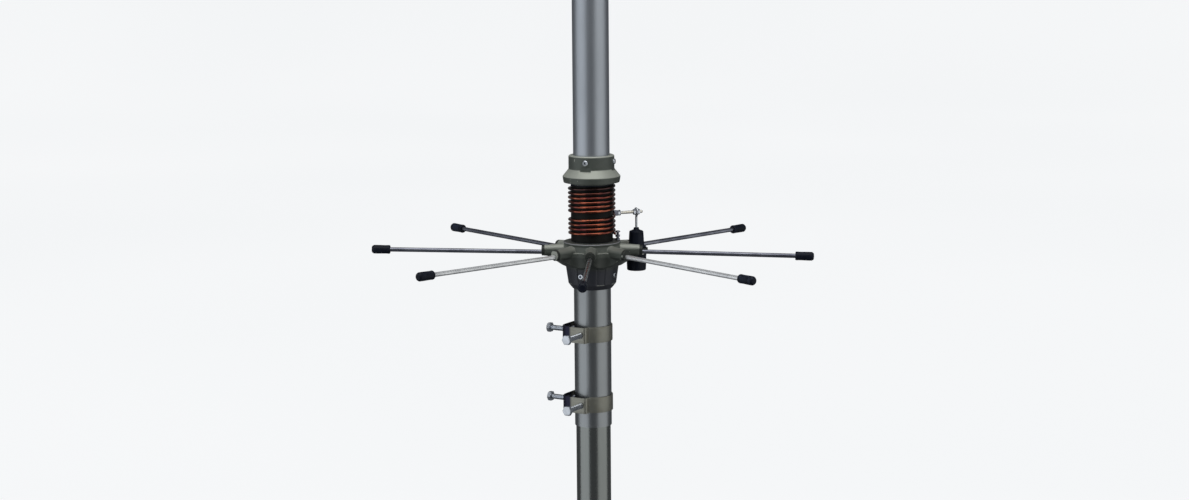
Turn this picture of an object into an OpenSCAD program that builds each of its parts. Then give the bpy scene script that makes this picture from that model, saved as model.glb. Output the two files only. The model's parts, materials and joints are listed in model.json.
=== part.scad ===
// Base section of a base-station omnidirectional antenna with a ground plane.
// Millimetres, +Z up. The origin is the centre of the mast tube's lower end.
// Heights in the Hidden section are counted from there; angles are about Z,
// 0 along +X and 90 along +Y. The eight radials lie at whole multiples of 45 degrees.

/* [Mast and base tube] */
// Outer diameter of the inner mast tube
mast_od = 39.4; // [39:0.1:40.2]
// Wall thickness of the mast tube
mast_wall = 1.5; // [1:0.1:3]
// Outer diameter of the base tube that slips over the mast
base_od = 42; // [41.9:0.1:44]
// Running clearance on radius between base tube and mast
slip_gap = 0.08; // [0.02:0.01:0.1]
// Length of bare mast below the base tube
mast_below = 101; // [60:1:101]

/* [Ground plane] */
// Height of the radials above the lower end of the mast
hub_z = 300; // [300:1:340]
// Distance from the axis to a radial's tip
radial_reach = 250; // [180:1:400]
// Diameter of a radial rod
rod_d = 5; // [4:0.1:6]
// Diameter of a radial's rubber cap
cap_d = 10; // [8.5:0.1:12]
// Length of a radial's rubber cap
cap_len = 21; // [16:0.5:30]
// Distance from the axis to the end of a hub arm
arm_reach = 57; // [54:0.5:62]

/* [Coil] */
// Diameter of the coil wire
wire_d = 3; // [2:0.1:3.2]
// Rise of the coil in one turn
coil_pitch = 5; // [4.8:0.1:5]
// Radius of the coil former
former_r = 23.6; // [22.6:0.1:23.6]
// Angle of the tap and of the coaxial connector
tap_angle = 22.5; // [20:0.5:25]

/* [Radiator] */
// Outer diameter of the radiator tube
radiator_od = 41; // [40.6:0.1:41.2]
// Wall thickness of the radiator tube
radiator_wall = 1.5; // [1.2:0.1:1.9]
// Wall thickness of the radiator's foot, where the collar's screws bear on it
radiator_foot_wall = 2; // [2:0.1:3]
// Height of the radiator's upper end above the radials
radiator_top = 300; // [200:1:600]

/* [Mast clamps] */
// Drop of the upper clamp's centre below the radials
clamp_drop_upper = 91.8; // [85:0.1:100]
// Drop of the lower clamp's centre below the radials
clamp_drop_lower = 172.6; // [150:0.1:176]
// Height of a clamp strap
strap_h = 18; // [16:0.1:24]
// Thickness of a clamp strap
strap_t = 1.5; // [1:0.1:2]
// Direction of the front clamp bolts; the left ones stand 90 degrees before
bolt_angle = 242; // [235:1:250]
// Length of a clamp bolt under its head
bolt_len = 35; // [30:1:45]

/* [Hidden] */
$fn = 72;

// colours
aluminium = "#9aa0a8";
dull_aluminium = "#7d8286";
casting_grey = "#5c6159";
nylon_black = "#1b1b1d";
rubber_black = "#15161a";
copper_red = "#8a3a22";
brass = "#b59a55";
zinc = "#a8adb5";
stainless = "#b9bcc0";
strap_olive = "#77776a";
ptfe_white = "#e8e6de";
glass_fibre = "#c9bf95";

step = 0.3;                 // gap kept between parts that move past each other
fit = 0.08;                 // running clearance on radius of a sliding fit
eps = 0.5;                  // overshoot of a cutting tool past a face

// tubes
mast_r = mast_od / 2;
mast_bore_r = mast_r - mast_wall;
base_r = base_od / 2;
base_bore_r = mast_r + slip_gap;
radiator_r = radiator_od / 2;
radiator_bore_r = radiator_r - radiator_wall;
radiator_foot_r = radiator_r - radiator_foot_wall;
base_z0 = mast_below;
base_z1 = hub_z - 16;
mast_top = hub_z - 62;

// hub casting, heights and radii
skirt_z0 = hub_z - 40.7;
skirt_turn_z = hub_z - 35;
skirt_z1 = hub_z - 13.8;
hub_top = hub_z + 12.6;
skirt_lip_r = 22.4;
skirt_low_r = 27;
skirt_top_r = 30.1;
skirt_slope = (skirt_top_r - skirt_low_r) / (skirt_z1 - skirt_turn_z);
panel_top = skirt_z1 - 1.6;
panel_cut_h = 27;           // height of the tool that leaves a panel's inner face
panel_depth = 1;            // depth of the recessed panels between the skirt's ribs
rib_w = 13;                 // width of a skirt rib
rib_splay = 2.3;            // narrowing of a panel towards its outer corners
ring_r = 32.2;
ring_z0 = hub_top - 2.6;    // underside of the top ring's bead
waist_r = 31.4;
web_mid_r = 33.5;           // least radius of the star web, half way between two arms
web_reach = 53;             // greatest radius of the star web, along an arm
web_step = 0.6;             // how far the turned body stays inside the web's hollows
web_top = hub_z + 2.5;
web_rim_z0 = hub_z - 2.5;
web_rim_z1 = hub_z + 0.3;
scallop_r = 14.9;           // radius of the hollow between two arms
arm_count = 8;
arm_pitch = 360 / arm_count;
arm_r = 5.3;                // radius of an arm at its end
arm_root_r = 8.2;           // radius of an arm at its root, inside the hub
arm_root = 20;
arm_axis_z = hub_z + 2.4;   // the arms' own axis runs a little above the radials
arm_extra = 1.2;            // an arm is this much taller than it is wide
bead_r = 6;                 // bead round the end of an arm
bead_len = 3.6;
rod_socket = 13;            // depth of the threaded hole that takes a rod
rod_droop = [1.7, -0.4, 0, -0.9, -1, -0.3, -0.5, 1.1]; // set of each radial below level, in degrees
rod_r = rod_d / 2;
thread_gap = 0.03;          // clearance between a thread and its hole
cap_end_wall = 5;           // rubber beyond the end of a rod
cap_lip = 0.8;

// set screws, M6
grub_r = 3;
grub_socket_r = 1.7;
grub_socket_depth = 3;
grub_edge = 0.5;            // chamfer round a set screw's outer end
grub_cut = 14;              // length of the tool that makes a set screw's hole
hub_grub_z = hub_z - 24.6;
hub_grub_angles = [244.5, 336];
hub_grub_end = 28.9;        // distance from the axis to the outer end of a screw
collar_grub_z = hub_z + 103.2;
collar_grub_angles = [257, 347];
collar_grub_end = 27.6;

// former, core and gaskets
gasket_t = 0.8;
core_r = base_bore_r - fit;
core_spigot_r = radiator_foot_r - fit;
core_bore_r = 8;
core_z0 = hub_z - 50;
core_z1 = hub_z + 150;
former_z0 = hub_top + gasket_t;
former_z1 = hub_z + 76.5;
core_hole_r = core_r + 0.05;
gasket_r = former_r - 0.6;

// upper collar
collar_z0 = former_z1 + gasket_t;
rim_z0 = hub_z + 79.6;
rim_z1 = hub_z + 85.4;
seat_z = hub_z + 82;
cone_z1 = hub_z + 94.8;
collar_z1 = hub_z + 110.1;
collar_r = 25.8;
rim_r = 32.5;
notch_w = 12.5;
notch_r = 25.1;
notch_z0 = hub_z + 92.6;
notch_z1 = hub_z + 98.6;
radiator_z0 = seat_z + step;
radiator_z1 = hub_z + radiator_top;
radiator_foot_z1 = core_z1 + 5;

// terminals of the coil: each end of the wire is held beside a stud, between a nut and a head
terminal_r = 29.2;
ground_terminal_angle = 9.5;
top_terminal_angle = 45;
terminal_stud_r = 1.6;
terminal_depth = 6.5;       // length of the ground stud inside the hub
terminal_screw_in = 3.6;    // length of the top screw inside the collar's rim
terminal_head_r = 2.9;
terminal_head_h = 1.8;
terminal_nut_af = 5;
terminal_nut_t = 2.3;
terminal_play = 0.05;       // gap between the wire and what holds it

// coil wire: a right-handed helix with one empty groove opposite the tap
wire_r = wire_d / 2;
wire_path_r = former_r + wire_r + 0.25;
wire_first_angle = ground_terminal_angle;
wire_last_angle = top_terminal_angle + 10 * 360;
gap_start = 1410;           // unwound angles between which the wire crosses the empty groove
gap_end = 1515;
wire_z_at_front = hub_z + 23.7;
front_angle = 270;
wire_sides = 8;
wire_seg = 15;              // degrees of turn from one ring of points to the next
lead_angle = 24;            // turn over which each end of the wire leaves the former
lead_out = terminal_r - terminal_stud_r - wire_r - terminal_play - wire_path_r;

function smooth(t) = t <= 0 ? 0 : t >= 1 ? 1 : t * t * (3 - 2 * t);
function wire_height(a) =
    wire_z_at_front + coil_pitch * (a - front_angle) / 360
    + coil_pitch * smooth((a - gap_start) / (gap_end - gap_start));
function wire_lead(a) =
    smooth(1 - (a - wire_first_angle) / lead_angle) + smooth(1 - (wire_last_angle - a) / lead_angle);
function wire_radius(a) = wire_path_r + lead_out * wire_lead(a);
function wire_point(a, s) =
    let (r = wire_radius(a) + wire_r * cos(s))
    [r * cos(a), r * sin(a), wire_height(a) + wire_r * sin(s)];
wire_angles = concat(
    [wire_first_angle],
    [for (a = [wire_seg : wire_seg : wire_last_angle - 5]) a],
    [wire_last_angle]
);
ground_wire_z = wire_height(wire_first_angle);
top_wire_z = wire_height(wire_last_angle);

// tap and link
tap_z = hub_z + 42.6;
tap_nut_r = 3.3;
tap_nut_t = 2.5;
tap_stud_r = 1.75;
clip_in = wire_path_r + wire_r + 0.05;
clip_out = clip_in + 4;
clip_w = 6;
connector_r = 53.7;         // distance from the axis to the connector's axis
link_r = 1.3;
eye_r = 3.7;                // radius of the centre line of the link rod's eye
tap_tip = connector_r + 7.4;

// coaxial connector, hanging under an ear of the hub
ear_r = 13;
ear_root = 22;              // where the ear starts, inside the hub
ear_z0 = hub_z - 3.5;
ear_z1 = hub_z + 1.5;
neck_r = 5.25;
thread_r = 7.95;
flange_r = 10.6;
flange_t = 2;
shell_z0 = hub_z - 20.5;
shell_z1 = hub_z + 6;
connector_nut_r = 7.5;
connector_nut_t = 3;
socket_bore_r = 6.2;
insulator_r = 4;
socket_floor = hub_z - 8;
pin_r = 2;
contact_z0 = hub_z - 17;
contact_z1 = hub_z + 12;
link_z0 = hub_z + 8.5;
boot_z0 = ear_z1 + step;
boot_rim_z = hub_z + 3.6;
boot_shoulder = hub_z + 20.6;
boot_z1 = hub_z + 24.7;
boot_cavity_z1 = hub_z + 18.6;
boot_step_z = ear_z1 + connector_nut_t + 0.6;
boot_rim_r = 11;
boot_r = 8.9;
boot_cavity_r = 7.8;
cap_top = ear_z0 - flange_t - step;
cap_z0 = hub_z - 24.2;
cap_r = 11.3;
cap_floor = 2;

// mast clamps
upper_clamp_z = hub_z - clamp_drop_upper;
lower_clamp_z = hub_z - clamp_drop_lower;
flat_in = base_r + 6;       // distance from the axis to a flat's inner face
flat_corner = 13.8;         // radius inside the corner between the two flats
flat_tail = 5.4;            // how far a flat runs on past its bolt
m6_r = 3;
m6_head_af = 10;
m6_head_h = 4;
m6_nut_t = 5;
m6_point = 0.7;             // chamfer at a bolt's tip
nut_gap = 0.25;             // gap between a nut and the base tube
bolt_hole_r = 3.4;
bolt_tip = mast_r + step;
thread_fit = 0.05;          // running clearance between a bolt and its nut
left_angle = bolt_angle - 90;

// a hexagonal prism with the given distance across its flats
module hex(af, h) {
    cylinder(r = af / 2 / cos(30), h = h, $fn = 6);
}

// places its children, drawn along +Z, along a radius at an angle and a height
module radially(angle, z, r0) {
    rotate([0, 0, angle]) translate([r0, 0, z]) rotate([0, 90, 0]) children();
}

// places its children, drawn along +Z, on radial i, at a distance past the end of its arm
module along_radial(i, past) {
    rotate([0, 0, arm_pitch * (i - 1)]) translate([arm_reach, 0, hub_z])
        rotate([0, 90 + rod_droop[i - 1], 0]) translate([0, 0, past]) children();
}

module ring_solid(r_out, r_in, z0, z1) {
    translate([0, 0, z0])
    difference() {
        cylinder(r = r_out, h = z1 - z0);
        translate([0, 0, -eps]) cylinder(r = r_in, h = z1 - z0 + 2 * eps);
    }
}

module mast_tube() {
    color(dull_aluminium) ring_solid(mast_r, mast_bore_r, 0, mast_top);
}

module base_tube() {
    color(dull_aluminium)
    difference() {
        ring_solid(base_r, base_bore_r, base_z0, base_z1);
        for (z = [upper_clamp_z, lower_clamp_z])
            for (a = [bolt_angle, left_angle])
                radially(a, z, 0) cylinder(r = bolt_hole_r, h = base_r + eps);
    }
}

module radiator_tube() {
    color(aluminium)
    difference() {
        ring_solid(radiator_r, radiator_foot_r, radiator_z0, radiator_z1);
        translate([0, 0, radiator_foot_z1])
            cylinder(r = radiator_bore_r, h = radiator_z1 - radiator_foot_z1 + eps);
    }
}

// the turned outline of the hub: chamfered lip, tapered skirt, waist and top ring
module hub_turning() {
    rotate_extrude()
    polygon([
        [0, skirt_z0], [skirt_lip_r, skirt_z0], [skirt_low_r, skirt_turn_z],
        [skirt_top_r, skirt_z1], [web_mid_r - web_step, skirt_z1],
        [web_mid_r - web_step, web_top - 0.5], [waist_r, ring_z0],
        [ring_r, ring_z0 + 0.4], [ring_r, hub_top - 0.5],
        [ring_r - 0.5, hub_top], [0, hub_top]
    ]);
}

// one recessed panel of the skirt, between two ribs
module skirt_panel(angle) {
    inner = skirt_low_r - panel_depth;
    reach = skirt_top_r + 10;
    half_w = reach * tan(arm_pitch / 2) - rib_w / 2 - rib_splay;
    below = 2;
    rotate([0, 0, angle])
    intersection() {
        difference() {
            translate([0, 0, skirt_turn_z]) cylinder(r = reach, h = panel_top - skirt_turn_z);
            translate([0, 0, skirt_turn_z - below])
                cylinder(
                    r1 = inner - below * skirt_slope,
                    r2 = inner + (panel_cut_h - below) * skirt_slope,
                    h = panel_cut_h
                );
        }
        linear_extrude(height = hub_z) polygon([[0, 0], [reach, -half_w], [reach, half_w]]);
    }
}

// the star web that ties the arms together, thinning towards its rim
module hub_web() {
    hollow_at = web_mid_r + scallop_r;
    intersection() {
        translate([0, 0, skirt_z1])
        linear_extrude(height = web_top - skirt_z1 + eps)
        difference() {
            circle(r = web_reach);
            for (i = [0 : arm_count - 1])
                rotate(arm_pitch * (i + 0.5)) translate([hollow_at, 0]) circle(r = scallop_r);
        }
        rotate_extrude()
        polygon([
            [0, skirt_z1], [web_mid_r + 0.5, skirt_z1], [web_reach, web_rim_z0],
            [web_reach, web_rim_z1], [web_mid_r, web_top], [0, web_top]
        ]);
    }
}

// an arm: a tall round-topped rib with a bead round its end
module hub_arm(angle) {
    for (z = [arm_axis_z, arm_axis_z - arm_extra])
        radially(angle, z, arm_root) cylinder(r1 = arm_root_r, r2 = arm_r, h = arm_reach - arm_root);
    radially(angle, arm_axis_z - arm_extra / 2, arm_reach - bead_len)
        cylinder(r = bead_r, h = bead_len);
}

// the ear that carries the coaxial connector
module connector_ear() {
    rotate([0, 0, tap_angle])
    translate([0, 0, ear_z0])
    linear_extrude(height = ear_z1 - ear_z0)
    union() {
        translate([connector_r, 0]) circle(r = ear_r);
        translate([ear_root, -ear_r]) square([connector_r - ear_root, 2 * ear_r]);
    }
}

module hub_casting() {
    color(casting_grey)
    difference() {
        union() {
            hub_turning();
            hub_web();
            for (i = [0 : arm_count - 1]) hub_arm(arm_pitch * i);
            connector_ear();
        }
        for (i = [0 : arm_count - 1]) skirt_panel(arm_pitch * (i + 0.5));
        // socket for the base tube, and the passage for the core above it
        translate([0, 0, skirt_z0 - eps])
            cylinder(r = base_r + thread_gap, h = base_z1 - skirt_z0 + eps);
        translate([0, 0, base_z1 - eps]) cylinder(r = core_hole_r, h = hub_top - base_z1 + 2 * eps);
        for (i = [1 : arm_count])
            along_radial(i, -rod_socket) cylinder(r = rod_r + thread_gap, h = rod_socket + 2);
        for (a = hub_grub_angles)
            radially(a, hub_grub_z, base_r - 1) cylinder(r = grub_r + thread_gap, h = grub_cut);
        rotate([0, 0, tap_angle]) translate([connector_r, 0, ear_z0 - eps])
            cylinder(r = neck_r + thread_gap, h = ear_z1 - ear_z0 + 2 * eps);
        rotate([0, 0, ground_terminal_angle]) translate([terminal_r, 0, hub_top - terminal_depth - eps])
            cylinder(r = terminal_stud_r + thread_gap, h = terminal_depth + 2 * eps);
    }
}

// a set screw with a hexagonal socket, drawn along +Z
module grub(len) {
    difference() {
        union() {
            cylinder(r = grub_r, h = len - grub_edge);
            translate([0, 0, len - grub_edge]) cylinder(r1 = grub_r, r2 = grub_r - grub_edge, h = grub_edge);
        }
        translate([0, 0, len - grub_socket_depth])
            cylinder(r = grub_socket_r, h = grub_socket_depth + eps, $fn = 6);
    }
}

module hub_set_screws() {
    start = base_r + thread_gap;
    color(zinc)
    for (a = hub_grub_angles) radially(a, hub_grub_z, start) grub(hub_grub_end - start);
}

module collar_set_screws() {
    start = radiator_r + step;
    color(zinc)
    for (a = collar_grub_angles) radially(a, collar_grub_z, start) grub(collar_grub_end - start);
}

module hub_gasket() {
    color(rubber_black) ring_solid(gasket_r, core_hole_r, hub_top, hub_top + gasket_t);
}

module collar_gasket() {
    color(rubber_black) ring_solid(gasket_r, core_hole_r, former_z1, former_z1 + gasket_t);
}

module coil_former() {
    color(nylon_black) ring_solid(former_r, core_hole_r, former_z0, former_z1);
}

// load-bearing core: plugs the base tube, fills the former and carries the radiator
module insulator_core() {
    color(glass_fibre)
    translate([0, 0, core_z0])
    difference() {
        union() {
            cylinder(r = core_r, h = seat_z - core_z0);
            cylinder(r = core_spigot_r, h = core_z1 - core_z0);
        }
        translate([0, 0, -eps]) cylinder(r = core_bore_r, h = core_z1 - core_z0 + 2 * eps);
    }
}

module coil_wire() {
    rings = len(wire_angles);
    last = (rings - 1) * wire_sides;
    points = [for (a = wire_angles) for (k = [0 : wire_sides - 1]) wire_point(a, 360 * k / wire_sides)];
    side = [
        for (i = [0 : rings - 2]) for (k = [0 : wire_sides - 1])
            let (m = (k + 1) % wire_sides, p = i * wire_sides, q = p + wire_sides)
            [p + k, q + k, q + m, p + m]
    ];
    start_face = [for (k = [0 : wire_sides - 1]) k];
    end_face = [for (k = [0 : wire_sides - 1]) last + wire_sides - 1 - k];
    color(copper_red) polyhedron(points = points, faces = concat([start_face], side, [end_face]));
}

// places its children on a terminal's axis, at a height
module at_terminal(angle, z) {
    rotate([0, 0, angle]) translate([terminal_r, 0, z]) children();
}

// stud with two nuts, and the head that holds the lower end of the coil
module coil_ground_terminal() {
    seat = ground_wire_z - wire_r - terminal_play;
    head = ground_wire_z + wire_r + terminal_play;
    color(zinc)
    at_terminal(ground_terminal_angle, 0)
    union() {
        translate([0, 0, hub_top - terminal_depth])
            cylinder(r = terminal_stud_r, h = head - hub_top + terminal_depth + eps);
        translate([0, 0, hub_top]) hex(terminal_nut_af, terminal_nut_t);
        translate([0, 0, seat - terminal_nut_t]) hex(terminal_nut_af, terminal_nut_t);
        translate([0, 0, head]) cylinder(r = terminal_head_r, h = terminal_head_h);
    }
}

// screw up into the collar's rim, with its head under the upper end of the coil
module coil_top_terminal() {
    head = top_wire_z - wire_r - terminal_play;
    color(zinc)
    at_terminal(top_terminal_angle, 0)
    union() {
        translate([0, 0, head - eps]) cylinder(r = terminal_stud_r, h = rim_z0 + terminal_screw_in - head + eps);
        translate([0, 0, head - terminal_head_h]) cylinder(r = terminal_head_r, h = terminal_head_h);
        translate([0, 0, top_wire_z + wire_r + terminal_play]) hex(terminal_nut_af, terminal_nut_t);
    }
}

module upper_collar() {
    color(casting_grey)
    difference() {
        rotate_extrude()
        polygon([
            [core_hole_r, collar_z0], [gasket_r, collar_z0], [gasket_r, rim_z0],
            [rim_r - 1, rim_z0], [rim_r, rim_z1], [rim_r, rim_z1 + 1],
            [collar_r, cone_z1], [collar_r, collar_z1 - 1], [collar_r - 1, collar_z1],
            [radiator_r + fit, collar_z1], [radiator_r + fit, seat_z], [core_hole_r, seat_z]
        ]);
        for (a = collar_grub_angles) {
            radially(a, collar_grub_z, radiator_r - 1) cylinder(r = grub_r + thread_gap, h = grub_cut);
            rotate([0, 0, a]) translate([notch_r, -notch_w / 2, notch_z0])
                cube([rim_r - notch_r, notch_w, notch_z1 - notch_z0]);
        }
        at_terminal(top_terminal_angle, rim_z0 - eps)
            cylinder(r = terminal_stud_r + thread_gap, h = terminal_screw_in + 2 * eps);
    }
}

module tap_clip() {
    color(brass)
    rotate([0, 0, tap_angle])
    difference() {
        translate([clip_in, -clip_w / 2, tap_z - clip_w / 2]) cube([clip_out - clip_in, clip_w, clip_w]);
        translate([clip_out - 2, 0, tap_z]) rotate([0, 90, 0])
            cylinder(r = tap_stud_r + thread_gap, h = 3);
    }
}

module tap_stud() {
    color(brass) radially(tap_angle, tap_z, clip_out - 2) cylinder(r = tap_stud_r, h = tap_tip - clip_out + 2);
}

// one nut on each side of the link rod's eye
module tap_nuts() {
    color(zinc)
    for (r0 = [connector_r - link_r - tap_nut_t, connector_r + link_r])
        radially(tap_angle, tap_z, r0)
        difference() {
            cylinder(r = tap_nut_r, h = tap_nut_t, $fn = 6);
            translate([0, 0, -eps]) cylinder(r = tap_stud_r + thread_gap, h = tap_nut_t + 2 * eps);
        }
}

// rod from the connector's centre contact up to an eye round the tap stud
module link_rod() {
    color(brass)
    rotate([0, 0, tap_angle])
    translate([connector_r, 0, 0])
    union() {
        translate([0, 0, link_z0]) cylinder(r = link_r, h = tap_z - eye_r - link_z0);
        translate([0, 0, tap_z]) rotate([0, 90, 0]) rotate_extrude() translate([eye_r, 0]) circle(r = link_r);
    }
}

// places its children on the connector's axis
module at_connector() {
    rotate([0, 0, tap_angle]) translate([connector_r, 0, 0]) children();
}

module connector_shell() {
    color(stainless)
    at_connector()
    rotate_extrude()
    polygon([
        [socket_bore_r, shell_z0], [thread_r - 0.5, shell_z0], [thread_r, shell_z0 + 0.5],
        [thread_r, ear_z0 - flange_t], [flange_r, ear_z0 - flange_t], [flange_r, ear_z0],
        [neck_r, ear_z0], [neck_r, shell_z1], [insulator_r, shell_z1],
        [insulator_r, socket_floor], [socket_bore_r, socket_floor]
    ]);
}

module connector_nut() {
    color(zinc)
    at_connector()
    translate([0, 0, ear_z1])
    difference() {
        cylinder(r = connector_nut_r, h = connector_nut_t, $fn = 6);
        translate([0, 0, -eps]) cylinder(r = neck_r + thread_gap, h = connector_nut_t + 2 * eps);
    }
}

module connector_insulator() {
    color(ptfe_white)
    at_connector()
    rotate_extrude()
    polygon([
        [pin_r, socket_floor - 3], [socket_bore_r - 0.6, socket_floor - 3], [socket_bore_r - 0.6, socket_floor],
        [insulator_r, socket_floor], [insulator_r, shell_z1 + 1], [pin_r, shell_z1 + 1]
    ]);
}

module connector_contact() {
    color(brass)
    at_connector()
    difference() {
        translate([0, 0, contact_z0]) cylinder(r = pin_r, h = contact_z1 - contact_z0);
        translate([0, 0, link_z0]) cylinder(r = link_r, h = contact_z1 - link_z0 + eps);
        translate([0, 0, contact_z0 - eps]) cylinder(r = 1.2, h = 8);
    }
}

// rubber boot over the solder end of the connector; the link rod runs through its neck
module connector_boot() {
    neck_hole_r = link_r + fit;
    color(rubber_black)
    at_connector()
    rotate_extrude()
    polygon([
        [boot_cavity_r, boot_z0], [boot_rim_r, boot_z0], [boot_rim_r, boot_rim_z - 0.6],
        [boot_rim_r - 0.6, boot_rim_z], [boot_r, boot_rim_z], [boot_r - 1, boot_shoulder],
        [boot_r - 2, boot_shoulder + 1], [3.4, boot_shoulder + 1.6], [2.9, boot_z1],
        [neck_hole_r, boot_z1], [neck_hole_r, boot_cavity_z1],
        [boot_cavity_r - 1.9, boot_cavity_z1], [boot_cavity_r - 1, boot_step_z + 1],
        [boot_cavity_r, boot_step_z]
    ]);
}

// push-on rubber cap over the connector's threaded end
module connector_cap() {
    color(rubber_black)
    at_connector()
    rotate_extrude()
    polygon([
        [0, cap_z0], [cap_r - 1.4, cap_z0], [cap_r - 0.4, cap_z0 + 1],
        [cap_r, cap_top - 0.6], [cap_r - 0.6, cap_top], [thread_r + fit, cap_top],
        [thread_r + fit, cap_z0 + cap_floor], [0, cap_z0 + cap_floor]
    ]);
}

module radial_rod(i) {
    color(stainless)
    along_radial(i, -rod_socket)
        cylinder(r = rod_r, h = rod_socket + radial_reach - cap_end_wall - arm_reach);
}

// rubber cap on the tip of a radial, with a rounded outer end
module radial_cap(i) {
    round_r = 2.5;
    bore = rod_r + thread_gap;
    cap_out_r = cap_d / 2;
    color(rubber_black)
    along_radial(i, radial_reach - cap_len - arm_reach)
    rotate_extrude()
    polygon(concat(
        [[bore, 0], [cap_out_r - cap_lip, 0], [cap_out_r, cap_lip]],
        [for (a = [0 : 15 : 90])
            [cap_out_r - round_r + round_r * cos(a), cap_len - round_r + round_r * sin(a)]],
        [[0, cap_len], [0, cap_len - cap_end_wall], [bore, cap_len - cap_end_wall]]
    ));
}

// plan of a clamp strap's face, grown outward by t: a circle round the tube,
// joined to two flats at right angles that meet in a rounded corner
module strap_plan(t) {
    flat = flat_in + t;
    corner = flat_corner + t;
    tail = flat_tail + t;
    circle(r = base_r + thread_gap + t);
    rotate(left_angle)
    union() {
        translate([-tail, -tail]) square([flat + tail, flat - corner + tail]);
        translate([-tail, -tail]) square([flat - corner + tail, flat + tail]);
        translate([flat - corner, flat - corner]) circle(r = corner);
    }
}

module clamp_strap(z) {
    color(strap_olive)
    difference() {
        translate([0, 0, z - strap_h / 2])
        linear_extrude(height = strap_h)
        difference() {
            strap_plan(strap_t);
            strap_plan(0);
        }
        for (a = [bolt_angle, left_angle])
            radially(a, z, base_r) cylinder(r = bolt_hole_r, h = flat_in - base_r + strap_t + 2);
    }
}

module clamp_nuts() {
    start = base_r + nut_gap;
    color(zinc)
    for (z = [upper_clamp_z, lower_clamp_z])
        for (a = [bolt_angle, left_angle])
            radially(a, z, start)
            difference() {
                hex(m6_head_af, m6_nut_t);
                translate([0, 0, -eps]) cylinder(r = m6_r + thread_fit, h = m6_nut_t + 2 * eps);
            }
}

// hexagon-head bolt whose tip bears on the mast
module clamp_bolt(angle, z) {
    color(zinc)
    radially(angle, z, bolt_tip)
    union() {
        cylinder(r1 = m6_r - m6_point, r2 = m6_r, h = m6_point);
        translate([0, 0, m6_point]) cylinder(r = m6_r, h = bolt_len - m6_point);
        translate([0, 0, bolt_len]) hex(m6_head_af, m6_head_h);
    }
}

mast_tube();
base_tube();
hub_casting();
hub_set_screws();
hub_gasket();
coil_former();
insulator_core();
coil_wire();
coil_top_terminal();
coil_ground_terminal();
collar_gasket();
upper_collar();
collar_set_screws();
radiator_tube();
tap_clip();
tap_stud();
tap_nuts();
link_rod();
connector_shell();
connector_nut();
connector_insulator();
connector_contact();
connector_boot();
connector_cap();
for (i = [1:8]) {
    radial_rod(i);
    radial_cap(i);
}
clamp_strap(upper_clamp_z);  // upper_clamp_strap
clamp_strap(lower_clamp_z);  // lower_clamp_strap
clamp_nuts();
clamp_bolt(bolt_angle, upper_clamp_z);  // upper_front_bolt
clamp_bolt(left_angle, upper_clamp_z);  // upper_left_bolt
clamp_bolt(bolt_angle, lower_clamp_z);  // lower_front_bolt
clamp_bolt(left_angle, lower_clamp_z);  // lower_left_bolt
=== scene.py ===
import json
import math

import bmesh
import bpy
from mathutils import Matrix, Vector, noise


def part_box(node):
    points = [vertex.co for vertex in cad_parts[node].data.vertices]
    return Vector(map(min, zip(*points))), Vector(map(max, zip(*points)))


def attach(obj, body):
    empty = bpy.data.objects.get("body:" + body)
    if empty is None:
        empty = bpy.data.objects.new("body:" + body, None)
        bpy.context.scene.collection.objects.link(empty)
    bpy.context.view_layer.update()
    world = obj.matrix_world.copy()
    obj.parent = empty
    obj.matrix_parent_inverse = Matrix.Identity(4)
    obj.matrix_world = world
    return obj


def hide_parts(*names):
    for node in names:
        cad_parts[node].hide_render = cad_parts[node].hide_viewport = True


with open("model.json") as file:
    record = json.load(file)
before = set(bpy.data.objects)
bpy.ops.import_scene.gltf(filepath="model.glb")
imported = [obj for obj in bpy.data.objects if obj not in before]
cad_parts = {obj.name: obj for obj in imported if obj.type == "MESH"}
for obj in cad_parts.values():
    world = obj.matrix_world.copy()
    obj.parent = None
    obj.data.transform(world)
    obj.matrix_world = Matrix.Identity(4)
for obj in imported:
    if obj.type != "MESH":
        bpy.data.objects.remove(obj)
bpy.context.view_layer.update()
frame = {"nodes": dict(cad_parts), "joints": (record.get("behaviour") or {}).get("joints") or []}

# Lengths are millimetres and angles degrees up to the point where a mesh is made.
MM = 0.001
UP = Vector((0, 0, 1))
JOINT_AXES = {j["child"]: Vector(j["axis"]) for j in frame["joints"]}
CORNER_STEPS = 4            # steps round a corner of an outline
CREASE = 32                 # edges sharper than this stay sharp

# ---------------------------------------------------------------- measures of the frame


def span(node):
    """Lowest and highest corner of a CAD node, in mm."""
    lo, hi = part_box(node)
    return lo / MM, hi / MM


def middle(node):
    lo, hi = span(node)
    return (lo + hi) / 2


def reach(node, direction):
    """How far a CAD node extends along a direction from the origin: least and greatest, in mm."""
    dots = [v.co.dot(direction) / MM for v in frame["nodes"][node].data.vertices]
    return min(dots), max(dots)


def polar(radius, angle, z=0.0):
    a = math.radians(angle)
    return Vector((radius * math.cos(a), radius * math.sin(a), z))


def angle_of(point):
    return math.degrees(math.atan2(point.y, point.x))


def hub_centre():
    """Centre of the ground plane: the height of a level radial, on the antenna's axis."""
    return Vector((0, 0, middle("radial_rod_3").z))


def axis_line(node):
    """The two ends of a straight rod's own axis, the nearer to the antenna's axis first, in mm."""
    points = [v.co / MM for v in frame["nodes"][node].data.vertices]
    distances = [math.hypot(p.x, p.y) for p in points]
    half = (min(distances) + max(distances)) / 2
    near = [p for p, d in zip(points, distances) if d < half]
    far = [p for p, d in zip(points, distances) if d >= half]
    return sum(near, Vector()) / len(near), sum(far, Vector()) / len(far)


# ---------------------------------------------------------------- mesh kit


def skin(bm, rings, closed_rows):
    """Quads between closed rings of points; closed_rows joins the last ring to the first as well."""
    made = [[bm.verts.new(p) for p in ring] for ring in rings]
    following = made[1:] + made[:1] if closed_rows else made[1:]
    for low, high in zip(made, following):
        count = len(low)
        for k in range(count):
            m = (k + 1) % count
            bm.faces.new((low[k], low[m], high[m], high[k]))


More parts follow.
